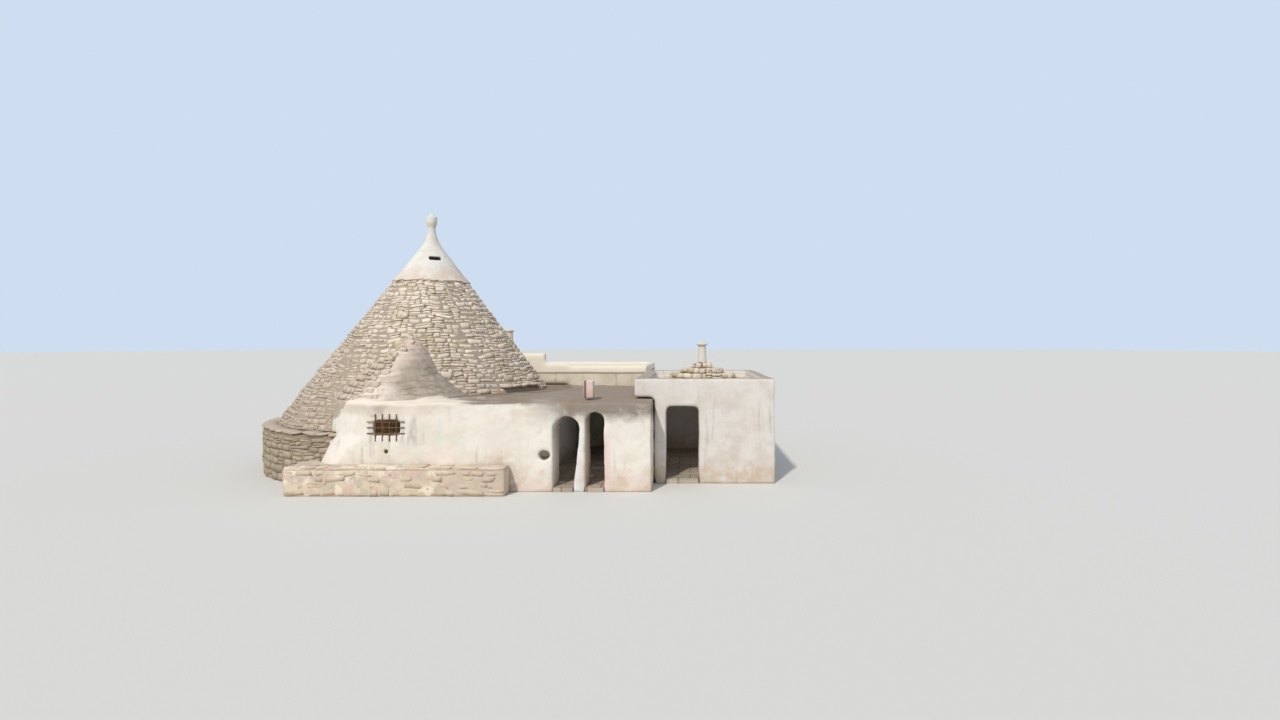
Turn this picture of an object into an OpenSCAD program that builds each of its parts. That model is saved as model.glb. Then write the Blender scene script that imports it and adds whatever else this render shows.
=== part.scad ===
// Trullo house: a round dry stone house with a corbelled cone, its alcove, an arcaded front room,
// a rear room and a side room. Millimetres, +Z up. The origin is the cone's axis at ground level.

/* [Round house] */
// Radius of the round room
room_r = 2900; // [2800:20:3000]
// Thickness of the drum wall
drum_t = 1430; // [1380:10:1500]
// Height of the eave on the open side
eave_z = 1300; // [1150:50:1400]
// Thickness of the eave slabs
eave_t = 80; // [50:10:110]
// How far the eave slabs stand out of the drum wall
eave_out = 90; // [60:10:180]
// How deep the eave slabs are bedded in the wall
eave_bed = 340; // [300:10:400]
// Thickness of the floor paving
floor_t = 100; // [60:10:150]

/* [Cone roof] */
// How far the cone's foot stands back from the face of the drum wall
cone_back = 270; // [230:10:300]
// Height of one course of roof stones
course_h = 135; // [125:5:140]
// How far each course steps in behind the one below
course_in = 100; // [94:1:104]
// How far the face of a course leans in over its height
course_lean = 54; // [40:2:66]
// Courses between the eave and the top of the walls
haunch_courses = 6; // [5:1:7]
// Courses between the top of the walls and the plaster cap
roof_courses = 24; // [22:1:25]
// Thickness of the roof stones, measured level
skin_t = 230; // [180:10:260]
// Courses of the corbelled dome, seen from inside
dome_courses = 20; // [16:1:24]
// Least thickness of a corbel ring inside the dome
corbel_t = 60; // [40:5:90]
// Radius of the dome at its closing ring
dome_top_r = 420; // [380:10:460]
// How far the eave slabs over the flat roof stand out
roof_eave_out = 170; // [100:10:220]
// Start of the eave slabs over the flat roof, in degrees round the axis
roof_eave_a0 = -38; // [-42:1:-34]
// End of the eave slabs over the flat roof
roof_eave_a1 = -8; // [-12:1:-4]

/* [Cap and pinnacle] */
// Radius of the cap where the concave flare starts
flare_r = 350; // [330:10:380]
// Radius of the pinnacle's neck
neck_r = 110; // [95:5:125]
// Radius of the pinnacle's head
head_r = 160; // [145:5:180]
// Height over which the neck widens to the head
head_flare_h = 130; // [100:10:160]
// Height of the head above that
head_h = 200; // [160:10:240]
// Radius of the knob on the head
knob_r = 85; // [70:5:95]
// Width of the smoke vent
vent_w = 340; // [300:10:360]
// Height of the smoke vent
vent_h = 110; // [90:10:130]
// Radius of the flue inside the cap, at its top
flue_r = 230; // [210:10:250]
// Height of the flue inside the cap
flue_h = 725; // [680:5:740]
// Height of the flue over the top of the vent
flue_over = 40; // [20:5:60]
// Direction that the smoke vent faces, in degrees round the axis
vent_a = -60; // [-70:1:-50]

/* [Alcove] */
// Place of the alcove's axis across the front
alcove_x = 520; // [400:20:640]
// Distance of the alcove's axis in front of the cone's axis
alcove_y = 3150; // [3050:25:3250]
// Radius of the alcove at its wall top
alcove_r = 1640; // [1600:10:1680]
// Extra radius of the battered foot
alcove_foot = 620; // [400:20:700]
// Height of the alcove's half cone above its wall
alcove_cone_h = 1280; // [1200:20:1360]
// Height of the half cone's crown, which leans back on the main cone
alcove_crown_h = 1560; // [1480:20:1600]
// Distance of the crown's axis behind the alcove's axis
crown_back = 380; // [320:10:440]
// Foot radius of the crown
crown_r = 1260; // [1200:10:1300]
// How far the straight part of the alcove reaches behind its axis
alcove_back = 500; // [450:10:550]
// Distance of the mortared flank's left edge to the right of the alcove's axis
mortar_in = 350; // [300:10:400]
// How far the mortared flank lies behind the stones beside it
mortar_back = 120; // [90:10:150]
// How much the mortared flank is hollowed
mortar_hollow = 1.15; // [1.1:0.05:1.3]
// Distance of the window's middle to the right of the alcove's axis
window_in = 200; // [150:10:240]
// Width of the niche inside
niche_w = 1800; // [1500:50:1900]
// Height of the niche at its crown
niche_h = 1850; // [1750:10:1900]
// Thickness of the wall in front of the niche
niche_wall = 650; // [550:50:750]
// Width of the window
window_w = 600; // [500:20:700]
// Height of the window
window_h = 320; // [260:20:380]
// Height of the window sill
window_z = 1340; // [1250:10:1380]
// Diameter of the small round hole under the window
hole_d = 100; // [80:10:130]
// Height of the small round hole
hole_z = 940; // [900:10:1000]

/* [Window grille] */
// Thickness of a grille bar
bar_d = 22; // [16:2:30]
// Length of the level bars
bar_long = 880; // [800:20:900]
// Length of the upright bars
bar_tall = 630; // [540:10:660]

/* [Front wall and bench] */
// Distance of the front wall's face in front of the cone's axis
front_y = 4850; // [4800:25:4900]
// Thickness of the front wall
front_t = 1000; // [950:10:1050]
// Right end of the alcove's straight wall
facade_x = 1950; // [1850:25:2000]
// Length of the bench
bench_l = 5050; // [4600:50:5400]
// Left end of the bench
bench_x = -1420; // [-1500:20:-1300]
// Height of the bench
bench_h = 670; // [550:10:720]
// Depth of the bench in front of the wall
bench_d = 500; // [400:20:600]
// Width of the oval niche in the front wall
oval_w = 290; // [240:10:300]
// Height of the oval niche
oval_h = 210; // [180:10:230]
// Depth of the oval niche
oval_d = 350; // [200:50:450]
// Height of the oval niche's middle
oval_z = 860; // [800:10:920]
// Wall left between the oval niche and the first arch
oval_gap = 60; // [50:5:80]

/* [Arcade] */
// Left side of the first arch
arch_x = 4600; // [4550:10:4650]
// Width of the first arch
arch_w = 610; // [580:10:640]
// Height of the first arch
arch_h = 1750; // [1650:10:1850]
// Width of the pier between the arches
pier_w = 150; // [130:10:200]
// Extra width of the pier's foot on its left
pier_batter = 150; // [100:10:180]
// Width of the second arch
arch2_w = 420; // [400:10:480]
// Height of the second arch
arch2_h = 1850; // [1750:10:1900]
// Wall left over the crown of the higher arch, under the roof slab
arch_cover = 110; // [80:10:130]

/* [Front room] */
// Outer right end of the front room
front_end_x = 6900; // [6600:50:7200]
// Thickness of the room's side walls
side_t = 500; // [400:50:600]
// Distance of the rear room's front wall behind the cone's axis
rear_y = 1900; // [1800:50:2000]
// Side of the square chimney
chimney_w = 240; // [200:10:280]
// Height of the chimney over the roof
chimney_h = 440; // [380:20:500]
// Place of the chimney across the house
chimney_x = 5300; // [5200:20:5500]
// Distance of the chimney behind the front face
chimney_in = 1000; // [700:50:1200]

/* [Doorways inside] */
// Height of the doorways between rooms
door_h = 1850; // [1800:10:1900]
// Width of the doorway to the rear room
rear_door_w = 800; // [700:20:900]
// Left side of the doorway to the rear room
rear_door_x = 4950; // [4900:10:5100]
// Angle that the round room's doorway takes up, in degrees
drum_door_a = 14; // [12:1:16]

/* [Rear room] */
// Left side of the rear room
rear_x = -1500; // [-1600:50:-1400]
// Right side of the rear room
rear_end_x = 6400; // [6200:50:6400]
// Length of the rear room, front wall face to back wall face
rear_l = 5500; // [5300:100:5900]
// Thickness of the roof slabs
slab_t = 240; // [200:10:300]
// Thickness of the parapets
parapet_t = 300; // [250:10:350]
// Height of the plain parapets over the roof
parapet_h = 400; // [300:20:460]
// Height of the tall part of the front parapet over the roof
tall_h = 800; // [700:20:860]
// Right end of the tall part
tall_x = 3020; // [2900:20:3100]
// Height of the middle part of the front parapet over the roof
mid_h = 480; // [460:10:560]
// Right end of the middle part
mid_x = 3800; // [3700:20:4000]

/* [Small cones] */
// Place of the rear cone across the house
rear_cone_x = 950; // [800:50:1100]
// Distance of the rear cone behind the main axis
rear_cone_y = 5500; // [5400:50:5600]
// Foot radius of the rear cone
rear_cone_r = 1150; // [1050:25:1200]
// Height of the rear cone over the roof
rear_cone_h = 1070; // [950:20:1200]
// Foot radius of the side room's cone
side_room_cone_r = 1300; // [1200:25:1350]
// Height of the side room's cone over the roof
side_room_cone_h = 560; // [500:20:700]
// Distance of the side room's cone to the left of the room's middle
side_room_cone_left = 250; // [200:10:300]
// Distance of the side room's cone in front of the main axis
side_room_cone_y = 900; // [800:20:1000]
// Thickness of the small cones, measured level
small_t = 350; // [320:10:400]
// Thickness of the small cones' courses, measured level
small_skin_t = 190; // [170:5:200]
// Height of the small pinnacles
small_pin_h = 620; // [520:20:700]
// Foot radius of the small pinnacles
small_pin_r = 130; // [110:5:150]

/* [Side room] */
// Right side of the side room
side_room_end_x = 9900; // [9700:50:10100]
// Thickness of the side room's walls
side_room_t = 550; // [500:25:600]
// Wall left between the front room and the side room's doorway
side_room_jamb = 300; // [250:25:400]
// Width of the side room's doorway
side_room_door_w = 800; // [700:20:900]
// Height of the side room's doorway
side_room_door_h = 1900; // [1800:10:1950]
// Height of the side room's coping over its roof
side_coping_h = 260; // [200:10:300]

/* [Hidden] */
$fn = 360;
drum_r = room_r + drum_t;
haunch_z = eave_z + haunch_courses * course_h;
cap_z = haunch_z + roof_courses * course_h;
slope = course_in / course_h;
foot_r = drum_r - cone_back;
function roof_r(z) = foot_r - (z - eave_z) * slope;
function core_r(z) = roof_r(z) - skin_t;
cap_r = roof_r(cap_z);
flare_z = cap_z + (cap_r - flare_r) / slope;
neck_h = 2 * (flare_r - neck_r) / slope;
neck_z = flare_z + neck_h;
head_z = neck_z + head_flare_h;
function neck_curve(t) = [neck_r + (flare_r - neck_r) * (1 - t) * (1 - t), flare_z + neck_h * t];
ring_h = (cap_z - haunch_z) / dome_courses;
function dome_r(z) = room_r - (room_r - dome_top_r) * (z - haunch_z) / (cap_z - haunch_z);
window_x = alcove_x + window_in;
mortar_x = alcove_x + mortar_in;
level_gap = 0.42 * window_h;
upright_gap = 0.27 * window_w;
front_wall_h = max(arch_h, arch2_h) + arch_cover;
roof_eave_z = haunch_z + course_h;
front_in_y = front_y - front_t;
floor_in = 80;
pier_x = arch_x + arch_w;
arch2_x = pier_x + pier_w;
end_pier_x = arch2_x + arch2_w;
front_in_x = front_end_x - side_t;
rear_in_y = rear_y + side_t;
rear_back_y = rear_y + rear_l;
rear_roof_z = haunch_z + slab_t;
side_room_door_x = front_end_x + side_room_jamb;
side_door_end_x = side_room_door_x + side_room_door_w;
side_in_y = side_room_t - front_in_y;
rear_door_end_x = rear_door_x + rear_door_w;
side_room_cone_x = (front_end_x + side_room_end_x) / 2 - side_room_cone_left;
covered_a = 116;
alcove_a0 = 266;
alcove_a1 = 295.5;
door_a = 315;
door_a1 = door_a + drum_door_a;
right_split_a = (door_a1 - 360 + covered_a) / 2;
left_split_a = (covered_a + alcove_a0) / 2;
stone = "tan";
white = "ivory";

// A body between two heights, from a plan
module block(z0, z1) { translate([0, 0, z0]) linear_extrude(z1 - z0) children(); }

// A rectangle from its two corners
module rect(x0, y0, x1, y1) { translate([x0, y0]) square([x1 - x0, y1 - y0]); }

// A body turned round the main axis between two angles, from its half section
module turned(a0, a1) { rotate([0, 0, a0]) rotate_extrude(angle = a1 - a0) children(); }

// Face and ledge of each course of the roof, from the bottom up
function course_points(z0, n) = [
    for (i = [0 : n - 1]) let (z = z0 + i * course_h, r = roof_r(z + course_h) + course_lean) each
        [[r, z], [r - course_lean, z + course_h]]
];

// A point on the face of the upper course i, the share t of its height up
function face_point(i, t) = let (z = haunch_z + i * course_h)
    [roof_r(z + course_h) + course_lean * (1 - t), z + course_h * t];

// Stepped half section of a small cone built of the same courses, from its foot up
function stepped_cone(r, h, bulge) = let (n = round(h / course_h), c = h / n) [
    for (i = [0 : n - 1]) let (r0 = r * pow(1 - i / n, bulge)) each
        [[r0, i * c], [r0 - course_lean, (i + 1) * c]],
    [0, h]
];

// Everything inside the stepped roof, from the ground to well above the cap
module main_envelope() {
    cylinder(r = drum_r, h = haunch_z);
    translate([0, 0, eave_z]) cylinder(r1 = foot_r, r2 = cap_r, h = cap_z - eave_z);
}

// The alcove's body up to the wall top: round and battered on the left, straight on the right
module alcove_body() {
    intersection() {
        translate([alcove_x, -alcove_y, 0]) rotate_extrude() polygon([
            [0, 0], [alcove_r + alcove_foot, 0], [alcove_r + alcove_foot / 2, bench_h],
            [alcove_r + alcove_foot / 8, eave_z], [alcove_r, haunch_z], [0, haunch_z]
        ]);
        block(-1, haunch_z + 1) rect(-2 * front_y, -front_y, alcove_x, 0);
    }
    block(0, haunch_z) rect(alcove_x, -front_y, facade_x, alcove_back - alcove_y);
}

// Section of an arched opening, its foot on the axis
module arch_shape(w, h) {
    translate([-w / 2, 0]) square([w, h - w / 2]);
    translate([0, h - w / 2]) circle(r = w / 2);
}

// An arched opening cut along Y, from its left side
module arch_cut(x, w, h, y0, y1) {
    translate([x + w / 2, y1, 0]) rotate([90, 0, 0]) linear_extrude(y1 - y0) arch_shape(w, h);
}

module covered_wall(a0, a1) {
    color(stone) turned(a0, a1) polygon([
        [room_r, 0], [drum_r, 0], [drum_r, haunch_z], [room_r, haunch_z]
    ]);
}

module open_wall(a0, a1) {
    color(stone) turned(a0, a1) polygon([
        [room_r, 0], [drum_r, 0], [drum_r, eave_z - eave_t], [drum_r - eave_bed, eave_z - eave_t],
        [drum_r - eave_bed, eave_z], [core_r(eave_z), eave_z], [core_r(haunch_z), haunch_z],
        [room_r, haunch_z]
    ]);
}

module main_floor() { color("darkgray") cylinder(r = room_r, h = floor_t); }

module drum_wall_right_front() { covered_wall(alcove_a1, door_a); }

// Lintel and threshold
module drum_doorway() {
    color(stone) turned(door_a, door_a1) {
        polygon([[room_r, door_h], [drum_r, door_h], [drum_r, haunch_z], [room_r, haunch_z]]);
        polygon([[room_r, 0], [drum_r, 0], [drum_r, floor_t], [room_r, floor_t]]);
    }
}

module drum_wall_right() { covered_wall(door_a1 - 360, right_split_a); }
module drum_wall_rear() { covered_wall(right_split_a, covered_a); }
module drum_wall_left_rear() { open_wall(covered_a, left_split_a); }
module drum_wall_left_front() { open_wall(left_split_a, alcove_a0); }

// The row round the open side, and the row over the flat roof, which lies on the first course
module eave_slabs() {
    color("gainsboro") {
        turned(covered_a, alcove_a0) polygon([
            [drum_r - eave_bed, eave_z - eave_t], [drum_r + eave_out, eave_z - eave_t],
            [drum_r + eave_out, eave_z], [drum_r - eave_bed, eave_z]
        ]);
        turned(roof_eave_a0, roof_eave_a1) polygon([
            face_point(1, 0), [roof_r(roof_eave_z) + roof_eave_out, roof_eave_z],
            [roof_r(roof_eave_z) + roof_eave_out, roof_eave_z + eave_t], face_point(1, eave_t / course_h)
        ]);
    }
}

module lower_courses() {
    color(stone) turned(covered_a, alcove_a0) polygon(concat(
        [[core_r(haunch_z), haunch_z], [core_r(eave_z), eave_z]],
        course_points(eave_z, haunch_courses)
    ));
}

module corbelled_dome() {
    color("wheat") rotate_extrude() polygon([
        [dome_r(haunch_z), haunch_z], [core_r(haunch_z), haunch_z], [core_r(cap_z), cap_z],
        [dome_r(cap_z), cap_z]
    ]);
}

// The rings of the dome as they show from inside, each one overhanging the ring below
module corbel_rings() {
    color("tan") rotate_extrude() polygon(concat(
        [[dome_r(cap_z), cap_z], [dome_r(haunch_z), haunch_z]],
        [for (i = [0 : dome_courses - 1]) let (z = haunch_z + i * ring_h) each
            [[dome_r(z + ring_h) - corbel_t, z], [dome_r(z + ring_h) - corbel_t, z + ring_h]]]
    ));
}

module upper_courses() {
    color(stone) rotate_extrude() polygon(concat(
        [[core_r(cap_z), cap_z], [core_r(haunch_z), haunch_z]],
        course_points(haunch_z, roof_courses)
    ));
}

module roof_cap() {
    color(white) difference() {
        translate([0, 0, cap_z]) cylinder(r1 = cap_r, r2 = flare_r, h = flare_z - cap_z);
        translate([0, 0, cap_z - 1])
            cylinder(r1 = dome_top_r, r2 = flue_r, h = flue_h + 1);
        rotate([0, 0, vent_a]) translate([0, -vent_w / 2, cap_z + flue_h - vent_h - flue_over])
            cube([cap_r, vent_w, vent_h]);
    }
}

module pinnacle() {
    color(white) rotate_extrude() polygon(concat(
        [[0, flare_z]],
        [for (i = [0 : 8]) neck_curve(i / 8)],
        [[head_r, head_z], [head_r, head_z + head_h]],
        [for (a = [0 : 15 : 90]) [knob_r * cos(a), head_z + head_h + knob_r / 4 + knob_r * sin(a)]]
    ));
}

module alcove_wall() {
    color(white) difference() {
        alcove_body();
        translate([0, 0, -1]) cylinder(r = room_r, h = haunch_z + 2);
        turned(180, alcove_a0) polygon([
            [0, -1], [drum_r, -1], [drum_r, eave_z - eave_t], [drum_r + eave_out, eave_z - eave_t],
            [drum_r + eave_out, eave_z], [foot_r, eave_z], [roof_r(haunch_z + 1), haunch_z + 1],
            [0, haunch_z + 1]
        ]);
        turned(alcove_a1, 360)
            polygon([[0, -1], [drum_r, -1], [drum_r, haunch_z + 1], [0, haunch_z + 1]]);
        intersection() {
            arch_cut(alcove_x - niche_w / 2, niche_w, niche_h, -front_y + niche_wall, 0);
            block(floor_t, haunch_z) rect(-drum_r, -front_y, drum_r, 0);
        }
        block(window_z, window_z + window_h)
            rect(window_x - window_w / 2, -2 * front_y, window_x + window_w / 2, -alcove_y);
        translate([window_x, -alcove_y, hole_z]) rotate([90, 0, 0])
            cylinder(d = hole_d, h = front_y);
    }
}

// The alcove's half cone and its crown
module alcove_cones() {
    translate([alcove_x, -alcove_y, haunch_z]) rotate_extrude() polygon(concat(
        [[0, 0]], stepped_cone(alcove_r, alcove_cone_h, 0.8)
    ));
    translate([alcove_x, -alcove_y + crown_back, haunch_z]) rotate_extrude() polygon(concat(
        [[0, 0]], stepped_cone(crown_r, alcove_crown_h, 0.8)
    ));
}

// A cone whose side sags inwards
module hollow_cone(r, h) {
    rotate_extrude() polygon([
        [0, 0], for (t = [0 : 0.25 : 1]) [r * pow(1 - t, mortar_hollow), t * h]
    ]);
}

module alcove_roof() {
    color(stone) difference() {
        alcove_cones();
        main_envelope();
        block(0, cap_z) rect(mortar_x, -2 * front_y, drum_r, 0);
    }
}

module window_grille() {
    color("saddlebrown") translate([window_x, -front_y - bar_d, window_z + window_h / 2]) {
        for (i = [-1 : 1]) translate([-bar_long / 2, 0, i * level_gap - bar_d / 2])
            cube([bar_long, bar_d, bar_d]);
        for (i = [-1.5 : 1.5]) translate([i * upright_gap - bar_d / 2, 0, -bar_tall / 2])
            cube([bar_d, bar_d, bar_tall]);
    }
}

// The right flank of the alcove's roof is smooth mortar, hollowed towards the main cone
module mortar_slope() {
    color("darkgray") difference() {
        union() {
            translate([alcove_x, -alcove_y, haunch_z]) hollow_cone(alcove_r - mortar_back, alcove_cone_h);
            translate([alcove_x, crown_back - alcove_y, haunch_z])
                hollow_cone(crown_r - mortar_back, alcove_crown_h);
        }
        main_envelope();
        block(0, cap_z) rect(-drum_r, -2 * front_y, mortar_x, 0);
    }
}

module bench() {
    color("linen") difference() {
        block(0, bench_h) rect(bench_x, -front_y - bench_d, bench_x + bench_l, -front_in_y);
        translate([0, 0, -1]) cylinder(r = drum_r, h = bench_h + 2);
        alcove_body();
        block(-1, bench_h + 1) rect(alcove_x, -front_y, front_end_x, 0);
    }
}

module facade_wall() {
    color(white) difference() {
        block(0, front_wall_h) rect(facade_x, -front_y, arch_x, -front_in_y);
        translate([0, 0, -1]) cylinder(r = drum_r, h = haunch_z);
        translate([arch_x - oval_gap - oval_w / 2, -front_y - 1, oval_z]) rotate([-90, 0, 0])
            scale([1, oval_h / oval_w, 1]) cylinder(d = oval_w, h = oval_d + 1);
    }
}

module arcade_pier() {
    color(white) translate([0, -front_in_y, 0]) rotate([90, 0, 0]) linear_extrude(front_t) polygon([
        [pier_x - pier_batter, 0], [arch2_x, 0], [arch2_x, arch_h - arch_w / 2],
        [pier_x, arch_h - arch_w / 2]
    ]);
}

module arcade_end_pier() {
    color(white) block(0, arch_h - arch_w / 2) rect(end_pier_x, -front_y, front_end_x, -front_in_y);
}

module arcade_arches() {
    color("thistle") difference() {
        block(arch_h - arch_w / 2, front_wall_h) rect(arch_x, -front_y, front_end_x, -front_in_y);
        arch_cut(arch_x, arch_w, arch_h, -front_y - 1, -front_in_y + 1);
        arch_cut(arch2_x, arch2_w, arch2_h, -front_y - 1, -front_in_y + 1);
    }
}

module front_side_wall() {
    color(white) block(0, haunch_z) rect(front_in_x, -front_in_y, front_end_x, rear_y);
}

module front_floor() {
    color("darkgray") block(0, floor_t) difference() {
        union() {
            rect(facade_x + floor_in, -front_in_y, front_in_x, rear_y);
            rect(arch_x, -front_y, pier_x - pier_batter, -front_in_y);
            rect(arch2_x, -front_y, end_pier_x, -front_in_y);
        }
        circle(r = drum_r);
    }
}

module front_roof() {
    color("thistle") block(front_wall_h, haunch_z) difference() {
        union() {
            rect(facade_x, -front_y, front_end_x, -front_in_y);
            rect(facade_x, -front_in_y, front_in_x, rear_y);
        }
        circle(r = drum_r);
    }
}

module chimney() {
    color("mistyrose") translate([chimney_x, -front_y + chimney_in, haunch_z + chimney_h / 2])
        cube([chimney_w, chimney_w, chimney_h], center = true);
}

module rear_front_wall() {
    color(white) block(0, haunch_z) difference() {
        union() {
            rect(room_r, rear_y, rear_door_x, rear_in_y);
            rect(rear_door_end_x, rear_y, rear_end_x, rear_in_y);
        }
        circle(r = drum_r);
    }
}

module rear_side_wall() {
    color(white) block(0, haunch_z)
        rect(rear_end_x - side_t, rear_in_y, rear_end_x, rear_back_y);
}

module rear_back_wall() {
    color(white) block(0, haunch_z)
        rect(rear_x, rear_back_y - side_t, rear_end_x - side_t, rear_back_y);
}

module rear_left_wall() {
    color(white) block(0, haunch_z) difference() {
        rect(rear_x, room_r, rear_x + side_t, rear_back_y - side_t);
        circle(r = drum_r);
    }
}

module rear_floor() {
    color("darkgray") block(0, floor_t) difference() {
        union() {
            rect(rear_x + side_t, rear_in_y, rear_end_x - side_t, rear_back_y - side_t);
            rect(rear_door_x, rear_y, rear_door_end_x, rear_in_y);
        }
        circle(r = drum_r);
    }
}

module rear_roof() {
    color(white) difference() {
        block(haunch_z, rear_roof_z) rect(rear_x, rear_y, rear_end_x, rear_back_y);
        main_envelope();
        translate([rear_cone_x, rear_cone_y, haunch_z - 1])
            cylinder(r = rear_cone_r - small_t, h = slab_t + 2);
    }
}

module rear_parapet() {
    color(white) difference() {
        union() {
            translate([0, rear_y + parapet_t, 0]) rotate([90, 0, 0]) linear_extrude(parapet_t) polygon([
                [0, rear_roof_z], [rear_end_x, rear_roof_z], [rear_end_x, rear_roof_z + parapet_h],
                [mid_x, rear_roof_z + parapet_h], [mid_x, rear_roof_z + mid_h],
                [tall_x, rear_roof_z + mid_h], [tall_x, rear_roof_z + tall_h],
                [0, rear_roof_z + tall_h]
            ]);
            block(rear_roof_z, rear_roof_z + parapet_h) difference() {
                rect(rear_x, rear_y, rear_end_x, rear_back_y);
                rect(rear_x + parapet_t, 0, rear_end_x - parapet_t, rear_back_y - parapet_t);
            }
        }
        main_envelope();
    }
}

// Children stand on the flat roofs at the feet of the two small cones
module at_small_cones() {
    translate([rear_cone_x, rear_cone_y, rear_roof_z]) children(0);
    translate([side_room_cone_x, -side_room_cone_y, rear_roof_z]) children(1);
}

// Height at which the side of a small cone, moved in by t, meets its axis
function inner_h(r, h, t) = h * (r - t) / r;

// Smooth shell that carries the courses of a small cone
module small_shell(r, h) {
    rotate_extrude() polygon([
        [r - small_t, 0], [r - small_skin_t, 0], [0, inner_h(r, h, small_skin_t)],
        [0, inner_h(r, h, small_t)]
    ]);
}

module small_courses(r, h) {
    rotate_extrude() polygon(concat(
        [[0, inner_h(r, h, small_skin_t)], [r - small_skin_t, 0]], stepped_cone(r, h, 1)
    ));
}

module small_pinnacle(r) {
    rotate_extrude() polygon([
        [0, 0], [r, 0], [r * 0.8, small_pin_h * 0.8], [r * 1.2, small_pin_h * 0.82],
        [r * 1.2, small_pin_h * 0.9], [0, small_pin_h]
    ]);
}

module small_cones() {
    color(stone) at_small_cones() {
        small_shell(rear_cone_r, rear_cone_h);
        small_shell(side_room_cone_r, side_room_cone_h);
    }
}

module small_cone_courses() {
    color(stone) at_small_cones() {
        small_courses(rear_cone_r, rear_cone_h);
        small_courses(side_room_cone_r, side_room_cone_h);
    }
}

module small_pinnacles() {
    color(white) at_small_cones() {
        translate([0, 0, rear_cone_h]) small_pinnacle(small_pin_r);
        translate([0, 0, side_room_cone_h]) small_pinnacle(small_pin_r);
    }
}

module side_front_wall() {
    color(white) block(0, haunch_z) {
        rect(front_end_x, -front_in_y, side_room_door_x, side_in_y);
        rect(side_door_end_x, -front_in_y, side_room_end_x, side_in_y);
    }
}

module door_lintels() {
    color(white) {
        block(door_h, haunch_z) rect(rear_door_x, rear_y, rear_door_end_x, rear_in_y);
        block(side_room_door_h, haunch_z)
            rect(side_room_door_x, -front_in_y, side_door_end_x, side_in_y);
    }
}

module side_right_wall() {
    color(white) block(0, haunch_z)
        rect(side_room_end_x - side_room_t, side_in_y, side_room_end_x, rear_y);
}

module side_back_wall() {
    color(white) block(0, haunch_z)
        rect(front_end_x, rear_y - side_room_t, side_room_end_x - side_room_t, rear_y);
}

module side_floor() {
    color("darkgray") block(0, floor_t) {
        rect(front_end_x, side_in_y, side_room_end_x - side_room_t, rear_y - side_room_t);
        rect(side_room_door_x, -front_in_y, side_door_end_x, side_in_y);
    }
}

module side_roof() {
    color(white) difference() {
        block(haunch_z, rear_roof_z) rect(front_in_x, -front_in_y, side_room_end_x, rear_y);
        translate([side_room_cone_x, -side_room_cone_y, haunch_z - 1])
            cylinder(r = side_room_cone_r - small_t, h = slab_t + 2);
    }
}

module side_coping() {
    color("mistyrose") block(rear_roof_z, rear_roof_z + side_coping_h) difference() {
        rect(front_in_x, -front_in_y, side_room_end_x, rear_y);
        rect(front_in_x + parapet_t, -front_in_y + parapet_t,
            side_room_end_x - parapet_t, rear_y - parapet_t);
    }
}

main_floor();
drum_wall_right_front();
drum_doorway();
drum_wall_right();
drum_wall_rear();
drum_wall_left_rear();
drum_wall_left_front();
eave_slabs();
lower_courses();
corbelled_dome();
corbel_rings();
upper_courses();
roof_cap();
pinnacle();
alcove_wall();
alcove_roof();
window_grille();
mortar_slope();
bench();
facade_wall();
arcade_pier();
arcade_end_pier();
arcade_arches();
front_side_wall();
front_floor();
front_roof();
chimney();
rear_front_wall();
rear_side_wall();
rear_back_wall();
rear_left_wall();
rear_floor();
rear_roof();
rear_parapet();
door_lintels();
side_front_wall();
side_right_wall();
side_back_wall();
side_floor();
side_roof();
side_coping();
small_cones();
small_cone_courses();
small_pinnacles();
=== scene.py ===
# %% [markdown]
# # The looks of a trullo house
# A trullo is a dry stone house under a cone of corbelled courses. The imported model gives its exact
# shape. This lesson dresses it: thousands of rough stones, a lime plaster coat with soft edges, rusty
# bars, and finishes made only of nodes. Lengths are in metres from the foot of the cone's axis. X runs
# to the right, and Y away from the viewer.

import math
from itertools import pairwise

import bmesh
import bpy
import numpy as np
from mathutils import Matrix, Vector, noise


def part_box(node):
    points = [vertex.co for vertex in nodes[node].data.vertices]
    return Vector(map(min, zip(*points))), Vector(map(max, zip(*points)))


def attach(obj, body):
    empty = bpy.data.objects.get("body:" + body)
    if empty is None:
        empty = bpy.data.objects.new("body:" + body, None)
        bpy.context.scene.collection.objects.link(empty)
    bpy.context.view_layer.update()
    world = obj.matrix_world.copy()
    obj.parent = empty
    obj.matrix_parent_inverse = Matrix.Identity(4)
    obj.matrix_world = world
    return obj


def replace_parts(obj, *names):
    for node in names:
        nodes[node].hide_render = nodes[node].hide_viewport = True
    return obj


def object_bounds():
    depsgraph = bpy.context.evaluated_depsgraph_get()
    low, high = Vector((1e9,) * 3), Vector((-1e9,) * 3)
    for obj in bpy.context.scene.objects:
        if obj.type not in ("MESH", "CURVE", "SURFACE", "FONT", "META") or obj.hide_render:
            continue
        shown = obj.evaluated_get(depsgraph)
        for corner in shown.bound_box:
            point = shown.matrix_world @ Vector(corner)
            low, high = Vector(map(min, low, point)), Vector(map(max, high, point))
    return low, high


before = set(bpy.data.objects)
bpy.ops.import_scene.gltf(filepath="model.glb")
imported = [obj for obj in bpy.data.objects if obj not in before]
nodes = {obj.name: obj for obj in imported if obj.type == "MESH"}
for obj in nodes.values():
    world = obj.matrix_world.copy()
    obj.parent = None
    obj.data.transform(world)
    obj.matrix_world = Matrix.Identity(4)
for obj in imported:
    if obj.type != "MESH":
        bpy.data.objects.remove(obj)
scene = bpy.context.scene
cad_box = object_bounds()
print("solids loaded:", len(nodes), "nodes, box", cad_box)

# %% [markdown]
# The camera stands where the photograph was taken, at eye height in front. It looks level, so that
# upright lines stay upright, and the shift moves the frame instead.

# %% Camera


def shown(name, data):
    """A new object in the scene."""
    made = bpy.data.objects.new(name, data)
    scene.collection.objects.link(made)
    return made


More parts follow.
